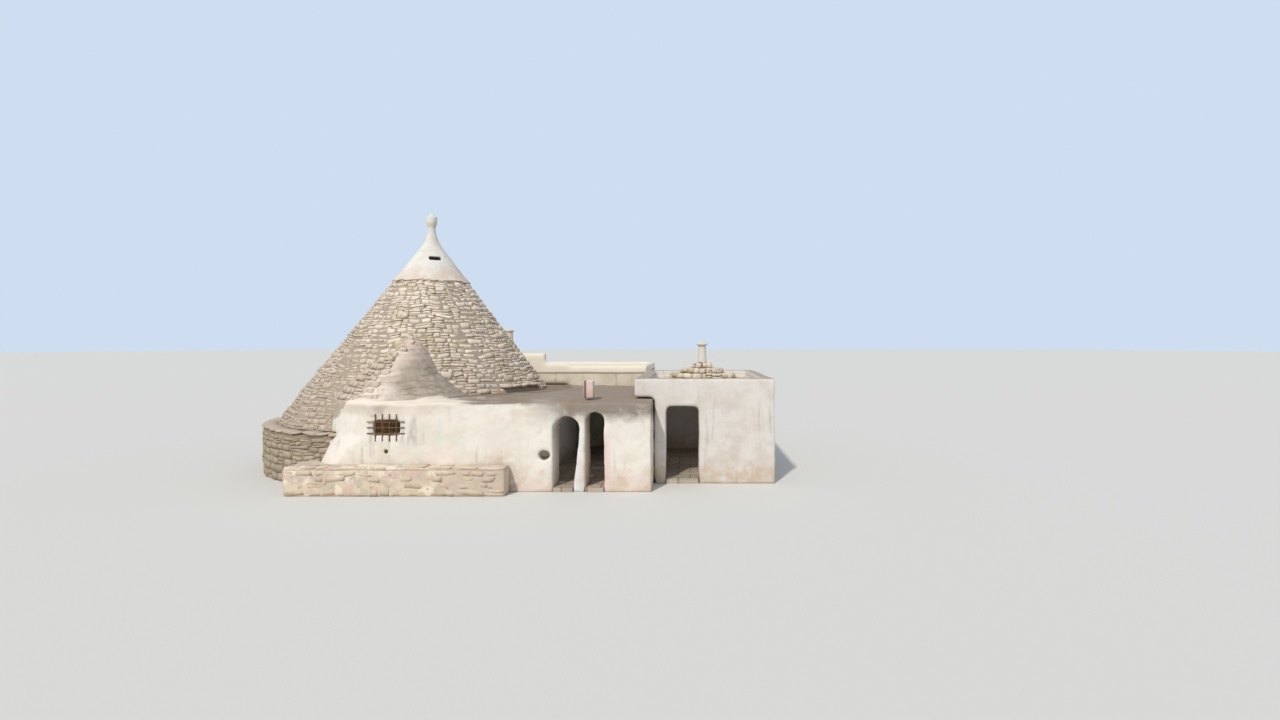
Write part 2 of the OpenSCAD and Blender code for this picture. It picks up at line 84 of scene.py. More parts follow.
camera_data = bpy.data.cameras.new("camera")
camera_data.lens = 19.575
camera_data.sensor_width = 36
camera_data.shift_x = -0.0383
camera_data.shift_y = -0.0117
camera = shown("camera", camera_data)
camera.location = (7.77, -21.03, 3.42)
camera.rotation_euler = (math.radians(90), 0, 0)
scene.camera = camera
print("camera at", tuple(camera.location))

# %% [markdown]
# A low sun from the left front models the round forms and shades the right side of each pier.

# %% Sun and lamps
scene.view_settings.view_transform = "Standard"
sun_data = bpy.data.lights.new("sun", "SUN")
sun_data.energy = 2.44
sun_data.angle = math.radians(3)
sun_data.color = (1, 0.96, 0.9)
sun = shown("sun", sun_data)
sun.rotation_euler = Vector((0.25, 0.65, -0.72)).to_track_quat("-Z", "Y").to_euler()
for place, power, tone in (((5.2, -2.4, 1.5), 7, (0.86, 0.92, 1)),
                           ((8.2, -1.4, 1.6), 7, (0.86, 0.92, 1)),
                           ((0.7, -3.7, 1.6), 12, (1, 0.76, 0.5)),
                           ((-1.4, 0.6, 1.5), 5, (1, 0.7, 0.42))):
    lamp = bpy.data.lights.new("room_light", "POINT")
    lamp.energy = power
    lamp.color = tone
    lamp.shadow_soft_size = 0.4
    shown("room_light", lamp).location = place
print("lamps:", [data.name for data in bpy.data.lights])

# %% [markdown]
# Finishes are made of nodes. A recipe is a function that adds its nodes where it is used, and gives the
# link that comes out. Recipes are joined like sums, so the mask of a stain reads like a sentence. A
# number or a link may stand wherever a recipe may.

# %% Recipes for nodes


def linear(red, green, blue):
    """The linear colour of a shader, from one written as on screen, from 0 to 255."""
    parts = [c / 255 for c in (red, green, blue)]
    return tuple(c / 12.92 if c < 0.04 else ((c + 0.055) / 1.055) ** 2.4 for c in parts) + (1,)


def plug(graph, value, socket):
    """Gives a socket a value, a link or a recipe."""
    if callable(value):
        value = value(graph)
    if isinstance(value, bpy.types.NodeSocket):
        graph.links.new(value, socket)
    else:
        socket.default_value = value


def add(graph, kind, sockets=None, **settings):
    """Adds one shader node."""
    made = graph.nodes.new("ShaderNode" + kind)
    for setting, value in settings.items():
        setattr(made, setting, value)
    for key, value in (sockets or {}).items():
        plug(graph, value, made.inputs[key])
    return made


def recipe(kind, sockets=None, out=0, **settings):
    """A recipe of one node."""
    return lambda graph: add(graph, kind, sockets, **settings).outputs[out]


def arithmetic(operation):
    """A way to join two or more values."""

    def joined(value, *others):
        for other in others:
            value = recipe("Math", {0: value, 1: other}, operation=operation)
        return value

    return joined


times, plus, minus, over, larger = map(arithmetic, ("MULTIPLY", "ADD", "SUBTRACT", "DIVIDE", "MAXIMUM"))


def between(value, low, high, start=0, end=1, how="LINEAR"):
    """A value between low and high, stretched to run from start to end."""
    return recipe("MapRange", {0: value, 1: low, 2: high, 3: start, 4: end}, interpolation_type=how)


def vectors(operation, *parts, out=0):
    """One step of arithmetic on points."""
    return recipe("VectorMath", dict(enumerate(parts)), out, operation=operation)


place = recipe("TexCoord", out="Object")
X, Y, Z = (recipe("SeparateXYZ", {0: place}, axis) for axis in "XYZ")
facing_up = recipe("SeparateXYZ", {0: recipe("NewGeometry", out="Normal")}, "Z")


def band(axis, start, full, fading, end):
    """A band with soft edges across X, Y or Z."""
    return times(between(axis, start, full), between(axis, end, fading))


print("recipes ready")

# %% [markdown]
# The sky fills the shade with a little blue. Sun and sky stay low enough that limewash doesn't burn out:
# the finish is pale, not the light. The sky that is seen has a colour of its own.

# %% Sky
world = bpy.data.worlds.new("sky")
scene.world = world
world.use_nodes = True
sky = world.node_tree
sky_light = sky.nodes["Background"]
sky_light.inputs["Color"].default_value = linear(224, 234, 250)
sky_light.inputs["Strength"].default_value = 0.62
rays = add(sky, "LightPath").outputs
seen = larger(rays["Is Camera Ray"], rays["Is Glossy Ray"], rays["Is Transmission Ray"])
sky_seen = recipe("Background", {"Color": linear(206, 222, 240)})
plug(sky, recipe("MixShader", {0: seen, 1: sky_light.outputs[0], 2: sky_seen}),
     sky.nodes["World Output"].inputs["Surface"])
print("sky:", len(sky.nodes), "nodes")

# %% [markdown]
# An effect that several finishes share is a node group with named sockets, placed in each finish with
# its own numbers. Patches are blots with a soft or a hard edge: lichen, damp and worn limewash.

# %% Effects as node groups


def effect(name, **inputs):
    """A shader group with named value sockets."""
    graph = bpy.data.node_groups.new(name, "ShaderNodeTree")
    for socket, value in inputs.items():
        made = graph.interface.new_socket(socket, in_out="INPUT", socket_type="NodeSocketFloat")
        made.default_value = value
    print("effect", name, "with", *inputs)
    return graph, graph.nodes.new("NodeGroupInput").outputs


def puts_out(graph, socket, value):
    """The one output of an effect."""
    graph.interface.new_socket(socket, in_out="OUTPUT", socket_type="NodeSocketFloat")
    plug(graph, value, graph.nodes.new("NodeGroupOutput").inputs[socket])


def placed(group, **values):
    """An effect placed in a finish, with its own values."""
    return recipe("Group", values, node_tree=group)


def cloudy(where, scale, detail, roughness=0.5):
    """Noise with fine detail in it."""
    return recipe("TexNoise", {"Vector": where, "Scale": scale, "Detail": detail, "Roughness": roughness})


# %% Effect: patches
patches, given = effect("patches", Scale=1, From=0.5, To=0.6, Seed=0)
clouds = cloudy(vectors("ADD", place, given["Seed"]), given["Scale"], 6, 0.62)
puts_out(patches, "Mask", between(clouds, given["From"], given["To"], how="SMOOTHSTEP"))


def blots(scale, low, high, seed=0):
    """Patches that start at the low noise and fill at the high one."""
    return placed(patches, Scale=scale, From=low, To=high, Seed=seed)


def spot(middle, size, seed):
    """A ragged blot round a point."""
    away = vectors("DISTANCE", place, middle, out="Value")
    return between(plus(away, times(blots(6, 0.2, 0.8, seed), size)), 1.5 * size, 0.9 * size)


# %% [markdown]
# Rain runs straight down a wall and leaves long thin streaks. The same noise, squeezed sideways and
# stretched upwards, gives them.

# %% Effect: run-off streaks
run_off, given = effect("run_off", Fineness=6, From=0.5, To=0.75)
streaky = cloudy(vectors("MULTIPLY", place, (1, 1, 0.09)), given["Fineness"], 5, 0.55)
puts_out(run_off, "Mask", between(streaky, given["From"], given["To"], how="SMOOTHSTEP"))


def runs(fineness, low, high):
    """Streaks of run-off."""
    return placed(run_off, Fineness=fineness, From=low, To=high)


# %% [markdown]
# Damp rises at the foot of a wall, and limewash stops at an uneven line. A height that wanders with a
# slow noise gives both: the mask is 1 below the line and 0 above it.

# %% Effect: an uneven height line
height_line, given = effect("height_line", Height=0.5, Softness=0.2, Wander=0.3, Scale=1.5)
wander = times(minus(cloudy(place, given["Scale"], 5, 0.6), 0.5), given["Wander"])
higher = minus(plus(Z, wander), given["Height"])
puts_out(height_line, "Mask", between(over(higher, given["Softness"]), 0.5, -0.5))


def below(height, softness, wander, scale=1.5):
    """1 below an uneven line, and 0 above it."""
    return placed(height_line, Height=height, Softness=softness, Wander=wander, Scale=scale)


def above(*line):
    """0 below an uneven line, and 1 above it."""
    return minus(1, below(*line))


# %% [markdown]
# Grain is the height of a rough surface: a coarse and a fine noise, and small pits. It feeds the bump of
# every stone and plaster finish.

# %% Effect: grain
grain, given = effect("grain", Coarse=9, Fine=70, Pits=0.3)
coarse, fine = cloudy(place, given["Coarse"], 8, 0.6), cloudy(place, given["Fine"], 3)
holes = recipe("TexVoronoi", {"Vector": place, "Scale": given["Fine"]}, "Distance")
pits = times(between(holes, 0, 0.35, -1, 0), given["Pits"])
puts_out(grain, "Height", plus(times(fine, 0.35), coarse, pits))

# %% [markdown]
# Every finish is a base colour, more colours that masks let through, and a rough surface. Each limestone
# carries three numbers: how pale it is, how pink, and how much lichen it grows. The lichen's patches
# pass over many stones, as on a real roof.

# %% Making a finish


def finish(name, roughness, colour, layers=(), bump=0, **grain_values):
    """A finish. Each layer is a mask and the colour it lets through."""
    made = bpy.data.materials.new(name)
    made.use_nodes = True
    shader = made.node_tree.nodes["Principled BSDF"]
    shader.inputs["Roughness"].default_value = roughness
    shader.inputs["Specular IOR Level"].default_value = 0.25
    colour = colour if callable(colour) else linear(*colour)
    for mask, tint in layers:
        colour = recipe("Mix", {0: mask, 6: colour, 7: linear(*tint)}, 2, data_type="RGBA")
    plug(made.node_tree, colour, shader.inputs["Base Color"])
    if bump:
        rough = recipe("Bump", {"Height": placed(grain, **grain_values), "Distance": bump})
        plug(made.node_tree, rough, shader.inputs["Normal"])
    print("finish", name, "of", len(made.node_tree.nodes), "nodes")
    return made


# %% Finish: rough stone


def own(number):
    """One of a stone's own numbers: 0 how pale, 1 how pink, 2 how much lichen."""
    stone = recipe("Attribute", out="Color", attribute_name="stone")
    return recipe("SeparateColor", {0: stone}, number)


def limestone(name, dark, mid, pale, pink, lichen, lit_tops=0.35, overlays=()):
    """Limestone in three tones with pink stones and lichen, and upward faces painted paler as sunlit."""

    def base(graph):
        tones = add(graph, "ValToRGB", {0: own(0)})
        tones.color_ramp.elements[0].color = linear(*dark)
        tones.color_ramp.elements[1].color = linear(*pale)
        tones.color_ramp.elements.new(0.5).color = linear(*mid)
        return tones.outputs[0]

    grows = times(blots(1.6, 0.44, 0.6, 3), blots(24, 0.4, 0.56, 11), own(2), lichen)
    layers = [(times(own(1), 0.6), pink),
              (times(blots(7, 0.35, 0.68), 0.34), dark),
              # pale blots, partly worn stone and partly painted highlights
              (times(blots(16, 0.52, 0.62, 7), 0.45), pale),
              # upward faces painted paler, as sunlit tops
              (between(facing_up, 0.45, 0.9, 0, lit_tops), pale),
              (between(Z, 1.8, 4.2, 0, 0.45), pale),
              (between(Z, 3.1, 1.6, 0, 0.45), dark),
              (grows, (158, 150, 92)), *overlays]
    return finish(name, 0.92, base, layers, 0.012, Coarse=14, Fine=85, Pits=0.35)


# Limewash smeared over the alcove's stones, nearly closed at their foot
climb = minus(Z, times(X, 0.55))
climb = plus(climb, times(blots(3, 0.25, 0.75, 71), 0.34))
smears = times(below(2.75, 0.7, 0.7), blots(3.5, 0.44, 0.58, 17))
creeping_wash = larger(smears, between(climb, 2.5, 2.36, 0, 0.75))

# The left flank of the great cone is greyer.
roof_stone = limestone("roof_stone", (176, 160, 142), (212, 196, 176), (246, 234, 216), (220, 190, 176),
                       0.75, overlays=[(between(X, -0.4, -1.5, 0, 0.32), (166, 150, 132))])
alcove_stone = limestone("alcove_stone", (178, 161, 143), (202, 186, 168), (226, 211, 193),
                         (216, 186, 172), 0.5, overlays=[(creeping_wash, (206, 191, 175))])
wall_stone = limestone("wall_stone", (154, 140, 120), (188, 174, 150), (216, 202, 180), (190, 164, 150),
                       0.6, 0.2)
bench_stone = limestone("bench_stone", (192, 174, 152), (226, 208, 182), (244, 232, 212),
                        (226, 192, 176), 0.25, 0.3)
joint_shade = finish("joint_shade", 1, (172, 157, 140), bump=0.02, Coarse=20, Fine=90)

# %% [markdown]
# Limewash is laid over rough plaster, coat on coat. It is never one white: warmer where it is thin, grey
# and green where rain runs off, pinkish brown where damp rises, and dirty on flat tops.

# %% Making a plaster finish


def plastered(name, white, thin, stain, damp, damp_to=0.5, streaks=0.6, top=None, rough=0.01, overlays=()):
    """Plaster with thin places, run-off, damp at the foot and dirt on top."""
    layers = [(times(blots(1.7, 0.42, 0.66, 2), 0.7), thin),
              (times(blots(6.5, 0.55, 0.66, 5), 0.45), thin),
              (times(runs(7, 0.52, 0.74), blots(0.8, 0.4, 0.62, 9), streaks), stain),
              (times(below(damp_to, 0.35, 0.7, 1.9), blots(3.4, 0.3, 0.6), 0.75), damp)]
    if top:
        dirt = plus(times(blots(2.2, 0.2, 0.55, 13), 0.3), 0.7)
        layers.append((times(between(facing_up, 0.6, 0.9), dirt), top))
    return finish(name, 0.85, white, layers + list(overlays), rough, Coarse=5, Fine=60, Pits=0.25)


far_limewash = plastered("far_limewash", (222, 215, 207), (206, 196, 183), (156, 150, 132),
                         (198, 176, 152), top=(170, 158, 142))
cap_limewash = plastered("cap_limewash", (224, 223, 214), (214, 202, 190), (176, 170, 138),
                         (214, 190, 170), damp_to=5.6)
inner_plaster = plastered("inner_plaster", (240, 236, 228), (226, 220, 206), (168, 158, 140),
                          (190, 174, 152), damp_to=0.4, streaks=0.3, top=(131, 114, 96))

# %% [markdown]
# Some stains belong to one place. The alcove's wall is bare at its upper left corner, thins out under
# the stones, is greyer over the barred window and streaked beside it, and the window's reveal is
# painted dark as shade. The plaster over it is washed too.

# %% Stains and painted shade of the alcove's wall
slant = plus(minus(X, Z), times(blots(5, 0.25, 0.75, 73), 0.22))
bare_corner = times(between(slant, -2.24, -2.3), above(1.62, 0.1, 0.2))
fading_top = times(between(Z, 1.72, 2.04), blots(2.2, 0.25, 0.6, 95), between(X, 2.7, 1.7, 0, 0.8))
over_window = times(spot((0.55, -4.82, 2.02), 0.3, 81), 0.85)
by_window = times(band(X, 0.98, 1.08, 1.38, 1.5), band(Z, 1.02, 1.25, 1.65, 1.85),
                  runs(11, 0.42, 0.58), 0.8)
# the window's reveal painted dark, as painted shade in the opening
window_reveal_shade = times(band(X, 0.36, 0.4, 1.04, 1.08), band(Z, 1.32, 1.35, 1.66, 1.69),
                  between(Y, -4.8, -4.74, 0, 0.9))
above_roof = times(above(2.15, 0.05, 0.08), blots(2.6, 0.3, 0.45, 51))
slope_foot = times(between(X, 2.75, 2.35), between(Y, -4.05, -4.3), between(Z, 1.98, 2.04),
                   blots(2.4, 0.22, 0.42, 83))
print("wall stains ready")

# %% [markdown]
# Painted shade lies over the arches, with a brown blot by the chimney. The pier is painted a cooler
# white, as the blue of shade, the right jamb is pink, and damp rises beside the bench.

# %% Stains and painted shade of the arched wall, and the limewash
# painted shade over the arches
shade_over_arches = times(between(X, 3.9, 5), above(1.72, 0.3, 0.6, 2.4), blots(3, 0.15, 0.5, 21))
edge_grime = times(above(2.03, 0.08, 0.16, 4), between(X, 2.3, 2.9), 0.8)
brown_blot = times(spot((5, -4.5, 2.12), 0.34, 61), 0.75)
# a cooler white on the pier, painted as the blue of shade
cool_shade_on_pier = times(band(X, 4.55, 4.75, 5.15, 5.35), between(Z, 1.75, 1.45, 0, 0.65))
pink_jamb = times(band(X, 5.7, 5.76, 5.88, 5.98), between(Z, 1.45, 1.05, 0, 0.6))
bench_damp = times(spot((3.35, -4.86, 0.42), 0.52, 89), blots(4.5, 0.3, 0.55, 91), 0.8)
front_stains_and_shade = [
    (times(blots(1.1, 0.5, 0.62, 33), 0.5), (238, 222, 216)),
    (times(blots(1.4, 0.52, 0.64, 37), 0.5), (222, 224, 216)),
    (shade_over_arches, (146, 134, 122)),
    (fading_top, (213, 199, 183)),
    (over_window, (194, 181, 166)),
    (by_window, (182, 172, 160)),
    (slope_foot, (234, 220, 204)),
    (edge_grime, (150, 134, 118)),
    (brown_blot, (156, 120, 88)),
    (above_roof, (221, 209, 194)),
    (bare_corner, (184, 169, 150)),
    (cool_shade_on_pier, (222, 224, 228)),
    (bench_damp, (204, 182, 162)),
    (pink_jamb, (228, 196, 190)),
    (window_reveal_shade, (98, 76, 54))
]
limewash = plastered("limewash", (234, 227, 215), (222, 211, 193), (160, 156, 140), (204, 180, 156),
                     top=(131, 114, 96), overlays=front_stains_and_shade)

# %% [markdown]
# The mortar on the alcove's cone was limewashed on its left side and on its ledges. The courses that
# drowned in it show through as faint broken lines, and its low right end is painted darker, as shade.

# %% Finish: mortar
left_of_flank = between(plus(X, times(blots(1.8, 0.3, 0.7, 31), 0.5)), 1.3, 0.5)
limed_ledges = times(between(facing_up, 0.66, 0.86), blots(3, 0.4, 0.55, 41), left_of_flank)
wash_up_the_cone = times(below(2.48, 0.16, 0.5, 2.2), blots(3.6, 0.36, 0.55, 27), left_of_flank)
COURSE_SEEN = 0.15
wandering = plus(Z, times(blots(2.8, 0.2, 0.8, 97), 0.11))
ripple = recipe("Math", {0: times(wandering, math.tau / COURSE_SEEN)}, operation="SINE")
drowned_courses = times(between(ripple, 0.15, 0.95), blots(4.2, 0.36, 0.56, 99), 0.6)
mortar_stains_and_shade = [
    (times(blots(5, 0.46, 0.6, 101), 0.6), (196, 184, 166)),
    (drowned_courses, (136, 124, 108)),
    (left_of_flank, (204, 188, 171)),
    (times(above(2.95, 0.2, 0.3), 0.6), (220, 196, 180)),
    # the low right end painted darker, as the shade of the right flank
    (between(X, 1.5, 2.1, 0, 0.5), (142, 124, 104)),
    (limed_ledges, (234, 220, 204)),
    (wash_up_the_cone, (228, 215, 200))
]
mortar = plastered("mortar", (178, 164, 146), (152, 140, 123), (126, 122, 104), (196, 184, 166),
                   damp_to=2.2, streaks=0.7, rough=0.02, overlays=mortar_stains_and_shade)

# %% [markdown]
# The bench is patched in several tones, bare at its right end, with a thin brown line under its slabs.
# The parapet's top band is painted lighter, as sunlight, over a painted shadow line, and a dark red
# stripe runs down the chimney.

# %% Finishes: bench, parapet and chimney
bench_brown_line = times(minus(below(0.615, 0.02, 0.05, 3), below(0.585, 0.02, 0.05, 3)), 0.7)
bench_stains = [
    (times(blots(3.2, 0.47, 0.56, 43), 0.7), (210, 184, 170)),
    (times(blots(4.1, 0.5, 0.58, 47), 0.7), (192, 182, 164)),
    (times(blots(2.3, 0.52, 0.6, 53), 0.8), (240, 228, 206)),
    (between(X, 2.1, 3, 0, 0.75), (198, 182, 164)),
    (bench_brown_line, (168, 142, 118))
]
bench_mortar = plastered("bench_mortar", (224, 208, 184), (206, 188, 164), (170, 154, 134),
                         (216, 196, 166), damp_to=0.2, streaks=0.5, top=(196, 180, 158), rough=0.014,
                         overlays=bench_stains)
# the top band painted lighter as sunlight, and a painted shadow line under it
parapet_painted_light = larger(minus(0.85, below(2.52, 0.04, 0.03)), 0)
parapet_painted_shadow = times(minus(below(2.53, 0.03, 0.03), below(2.47, 0.03, 0.03)), 0.8)
parapet_plaster = plastered("parapet_plaster", (222, 214, 194), (204, 194, 172), (150, 146, 124),
                            (196, 176, 150), damp_to=0.4, streaks=0.7, top=(176, 166, 148),
                            overlays=[(parapet_painted_light, (238, 230, 212)), (parapet_painted_shadow, (140, 128, 108))])
# a dark red stripe down the chimney
dark_red_stripe = times(band(X, 5.185, 5.205, 5.242, 5.262), 0.85)
chimney_plaster = plastered("chimney_plaster", (226, 204, 194), (206, 176, 160), (150, 110, 96),
                            (170, 130, 112), damp_to=2.25, overlays=[(dark_red_stripe, (112, 66, 54))])

# %% [markdown]
# The floors inside are stone slabs, hardly seen through the arches, so they stay in the finish: a brick
# pattern with a bump at each joint. Rust is dark scale, orange where it is fresh.

# %% Finishes: paving and rusty iron


def slabs(out):
    """A pattern of floor slabs."""
    return recipe("TexBrick", {"Vector": place, "Scale": 1, "Color1": linear(186, 174, 156),
                               "Color2": linear(164, 150, 134), "Mortar": linear(110, 98, 86),
                               "Mortar Size": 0.012, "Brick Width": 0.6, "Row Height": 0.4}, out)


paving = finish("paving", 0.7, slabs("Color"), [(times(blots(3, 0.4, 0.7), 0.4), (140, 128, 112))])
plug(paving.node_tree, recipe("Bump", {"Height": slabs("Fac"), "Distance": 0.006}, invert=True),
     paving.node_tree.nodes["Principled BSDF"].inputs["Normal"])
rusty_iron = finish("rusty_iron", 0.8, (98, 76, 60),
                    [(blots(22, 0.42, 0.62), (142, 104, 74)),
                     (times(blots(60, 0.5, 0.6, 4), 0.5), (62, 48, 40))],
                    0.002, Coarse=60, Fine=220, Pits=0.5)

# %% [markdown]
# ## Stonework
# A rough stone starts as a block with a few squares on each side, pulled a little towards a ball so that
# its edges round off. Each corner then moves on its own, so no two stones are alike. A course is cut
# into stones of different lengths, and some are made of two thin ones.

# %% The block that every stone starts from


def block_skin(*sizes):
    """Points of a block's skin from -1 to 1, and its faces."""
    number, faces = {}, []
    for axis, across, up in ((1, 0, 2), (0, 1, 2), (2, 0, 1)):
        for end, p, q in np.ndindex(2, sizes[across], sizes[up]):
            faces.append([])
            for a, b in ((0, 0), (1, 0), (1, 1), (0, 1)):
                at = [end * sizes[axis]] * 3
                at[across], at[up] = p + a, q + b
                faces[-1].append(number.setdefault(tuple(at), len(number)))
    points = [[2 * mark / size - 1 for mark, size in zip(at, sizes)] for at in number]
    return np.array(points), np.array(faces)


BLOCK, BLOCK_FACES = block_skin(4, 1, 2)
x, y, z = (BLOCK ** 2).T
BALL = BLOCK * np.sqrt(1 - np.stack([y / 2 + z / 2 - y * z / 3, z / 2 + x / 2 - z * x / 3,
                                     x / 2 + y / 2 - x * y / 3], 1))
ROUNDING = 0.28
SOFT_BLOCK = BLOCK * (1 - ROUNDING) + BALL * ROUNDING
CORNERS = 2 * np.array(list(np.ndindex(2, 2, 2))) - 1
CORNER_PULL = np.prod((1 + BLOCK[:, None] * CORNERS) / 2, axis=2)
print("one stone:", len(BLOCK), "points,", len(BLOCK_FACES), "faces")

# %% Making a piece


def outward_mesh(name, points, faces):
    """A mesh whose faces all look outwards."""
    mesh = bpy.data.meshes.new(name)
    mesh.from_pydata(points, [], faces)
    shape = bmesh.new()
    shape.from_mesh(mesh)
    bmesh.ops.recalc_face_normals(shape, faces=shape.faces)
    shape.to_mesh(mesh)
    shape.free()
    return mesh


def make_piece(name, points, faces, finishes, kinds=None):
    """A piece that rides on the house, with its finishes."""
    mesh = outward_mesh(name, points, faces)
    for one in finishes:
        mesh.materials.append(one)
    if kinds:
        mesh.polygons.foreach_set("material_index", kinds)
    mesh.polygons.foreach_set("use_smooth", [True] * len(mesh.polygons))
    piece = shown(name, mesh)
    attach(piece, "root")
    return piece


# %% Laying stones
inside_box = [np.array(cad_box[0]) + (0.002, 0.002, 0), np.array(cad_box[1]) - 0.002]


class Stonework:
    """Stones laid one by one, all from one seed."""

    def __init__(self, seed):
        self.chance = np.random.default_rng(seed)
        self.points, self.tones = [], []

    def stone(self, place, start, end, low, high, deep, proud=0):
        """One stone between two marks along the course and two heights."""
        half = np.array([end - start, deep, high - low]) / 2
        pull = self.chance.uniform(-0.24, 0.24, (8, 3)) * [min(half[0], 0.12), 0.05, half[2]]
        local = SOFT_BLOCK * half + CORNER_PULL @ pull
        local += self.chance.normal(0, 0.0022, local.shape)
        local[:, 2] += local[:, 0] * self.chance.normal(0, 0.05)
        self.points.append(place((start + end) / 2 + local[:, 0], proud - half[1] + local[:, 1],
                                 (low + high) / 2 + local[:, 2]))
        self.tones.append([self.chance.beta(2.2, 2), self.chance.random() ** 2, self.chance.random()])

    def course(self, place, length, low, high, wide, deep, gap=0.014, thin=0.3, proud=0.012, keep=None,
               tall=0):
        """A course of stones. keep says which are wanted. Some are two thin ones, and some reach up
        over the next course."""
        widths = wide * np.exp(self.chance.normal(0, 0.38, max(3, round(length / wide))))
        marks = np.concatenate([[0], np.cumsum(widths)]) * length / widths.sum()
        for start, end in pairwise(marks):
            if keep and not keep(*place(*np.array([[start + end], [0], [low + high]]) / 2)[0]):
                continue
            heights, out = [low, high], 0
            kind = self.chance.random()
            if kind < thin:
                heights.insert(1, low + (high - low) * self.chance.uniform(0.35, 0.65))
            elif kind > 1 - tall and end - start > 0.26:
                heights[1] += 0.5 * (high - low)
                out = 0.012
            for bottom, top in pairwise(heights):
                self.stone(place, start + gap / 2, end - gap / 2, bottom + gap / 4, top - gap / 4, deep,
                           out + self.chance.uniform(-proud, proud))

    def piece(self, name, look, slot, bed=((), (), None)):
        """All the stones as one piece, and the rough bed behind them."""
        count, bed_points, bed_faces, bed_finish = len(self.points), *bed
        points = np.clip(np.concatenate(self.points), *inside_box)
        faces = (BLOCK_FACES + len(BLOCK) * np.arange(count)[:, None, None]).reshape(-1, 4).tolist()
        kinds = [0] * len(faces) + [1] * len(bed_faces)
        faces += [[v + len(points) for v in face] for face in bed_faces]
        tones = np.ones((len(points) + len(bed_points), 4))
        tones[:, :3] = 0.3
        tones[:len(points), :3] = np.repeat(self.tones, len(BLOCK), axis=0)
        finishes = [look] + [bed_finish] * bool(bed_finish)
        made = make_piece(name, points.tolist() + list(bed_points), faces, finishes, kinds)
        layer = made.data.color_attributes.new("stone", "FLOAT_COLOR", "POINT")
        layer.data.foreach_set("color", tones.ravel())
        print(name, count, "stones,", 2 * len(made.data.polygons), "triangles")
        return made


# %% [markdown]
# Hands laid this roof, so no course is quite round or level. A slow wave in the radius and the height
# bends the courses together, so neighbours never cross. A rough bed lies behind them.

# %% Round walls and cones as places for stones


def turned(radius, angle, height, centre=(0, 0)):
    """Points round an upright axis."""
    sides = centre[0] + radius * np.cos(angle), centre[1] + radius * np.sin(angle), height
    return np.stack(np.broadcast_arrays(*sides), 1)


def slow_wave(angle, up):
    """How far out of round a course is at an angle and a height."""
    return 0.01 * np.sin(3 * angle + 1.1 * up) + 0.008 * np.sin(9 * angle - 2.3 * up + 1)


def round_place(foot_radius, foot_height, lean, centre=(0, 0), first=0, wave=1):
    """Turns along, out and up into a point on a round course. lean is per metre."""

    def place(along, out, up):
        angle = first + along / foot_radius
        radius = foot_radius - lean * (up - foot_height) + out + wave * slow_wave(angle, up)
        rise = 0.018 * np.sin(5 * angle + 2) + 0.016 * np.sin(14 * angle + 3 * up)
        return turned(radius, angle, up + wave * (rise + 0.006 * np.sin(31 * angle - 5 * up)), centre)

    return place


def strips(rows, around, seam=True, hoop=False):
    """Faces between rows of points. The seam closes each row, the hoop joins the last to the first."""
    return [[j * around + i, j * around + (i + 1) % around,
             (j + 1) % rows * around + (i + 1) % around, (j + 1) % rows * around + i]
            for j in range(rows - 1 + hoop) for i in range(around - 1 + seam)]


def tube(rows, around):
    """Faces of a closed tube: strips with a lid on each end."""
    first, last = list(range(around)), list(range((rows - 1) * around, rows * around))
    return strips(rows, around) + [first[::-1], last]


def turned_bed(profile, centre=(0, 0), first=0, last=math.tau, steps=120, wave=1):
    """The bed behind stones, turned round an axis from (radius, height) points."""
    angle = np.linspace(first, last, steps + 1)
    rows = [turned(r + wave * slow_wave(angle, z), angle, z, centre) for r, z in profile]
    return np.concatenate(rows).tolist(), strips(len(rows), steps + 1, seam=False), joint_shade


# %% [markdown]
# ## The great cone
# Each course steps in behind the one below and leans in a little, so every course shows a small ledge. A
# dark bed lies a hand behind the stones, so the joints are deep and dark as in dry stone.

# %% Roof stones of the great cone
EAVE_Z, HAUNCH_Z, CAP_Z = 1.3, 2.11, 5.35
COURSE_H, COURSE_IN, COURSE_LEAN = 0.135, 0.1, 0.054
FOOT_R = 4.06
ALCOVE_X, ALCOVE_Y, ALCOVE_R, ALCOVE_CONE_H = 0.52, -3.15, 1.64, 1.28
CROWN_Y, CROWN_R, CROWN_H = -2.77, 1.26, 1.56


def roof_r(z):
    """Radius of the great cone at a height."""
    return FOOT_R - (z - EAVE_Z) * COURSE_IN / COURSE_H


def roof_stones(name, seed, base, top, count, start, end, keep=lambda i: None):
    """Courses of the great cone between two heights and two angles, and their bed."""
    work = Stonework(seed)
    for i in range(count):
        low = base + i * COURSE_H
        foot, turn = roof_r(low + COURSE_H) + COURSE_LEAN, 0.7 * i if end - start > 6 else 0
        place = round_place(foot, low, COURSE_LEAN / COURSE_H, first=start + turn)
        work.course(place, foot * (end - start), low, low + COURSE_H, 0.27, 0.17, thin=0.55,
                    proud=0.018, keep=keep(i), tall=0.06)
    bed = [(roof_r(z) - 0.05, z) for z in np.linspace(base, top, count + 1)]
    return work.piece(name, roof_stone, "roof_stone", turned_bed(bed, first=start, last=end))


def outside_alcove_cone(x, y, z):
    """Whether a point of the great cone shows, and isn't deep inside the alcove's cone."""
    radius = ALCOVE_R * max(0, 1 - (z - HAUNCH_Z) / ALCOVE_CONE_H) - 0.35
    return z > HAUNCH_Z + 1.45 or math.hypot(x - ALCOVE_X, y - ALCOVE_Y) > radius


def beside_roof_eave(x, y, z):
    """The same, but for a dark slot under the slabs over the flat roof."""
    return outside_alcove_cone(x, y, z) and not -36 < math.degrees(math.atan2(y, x)) < -10


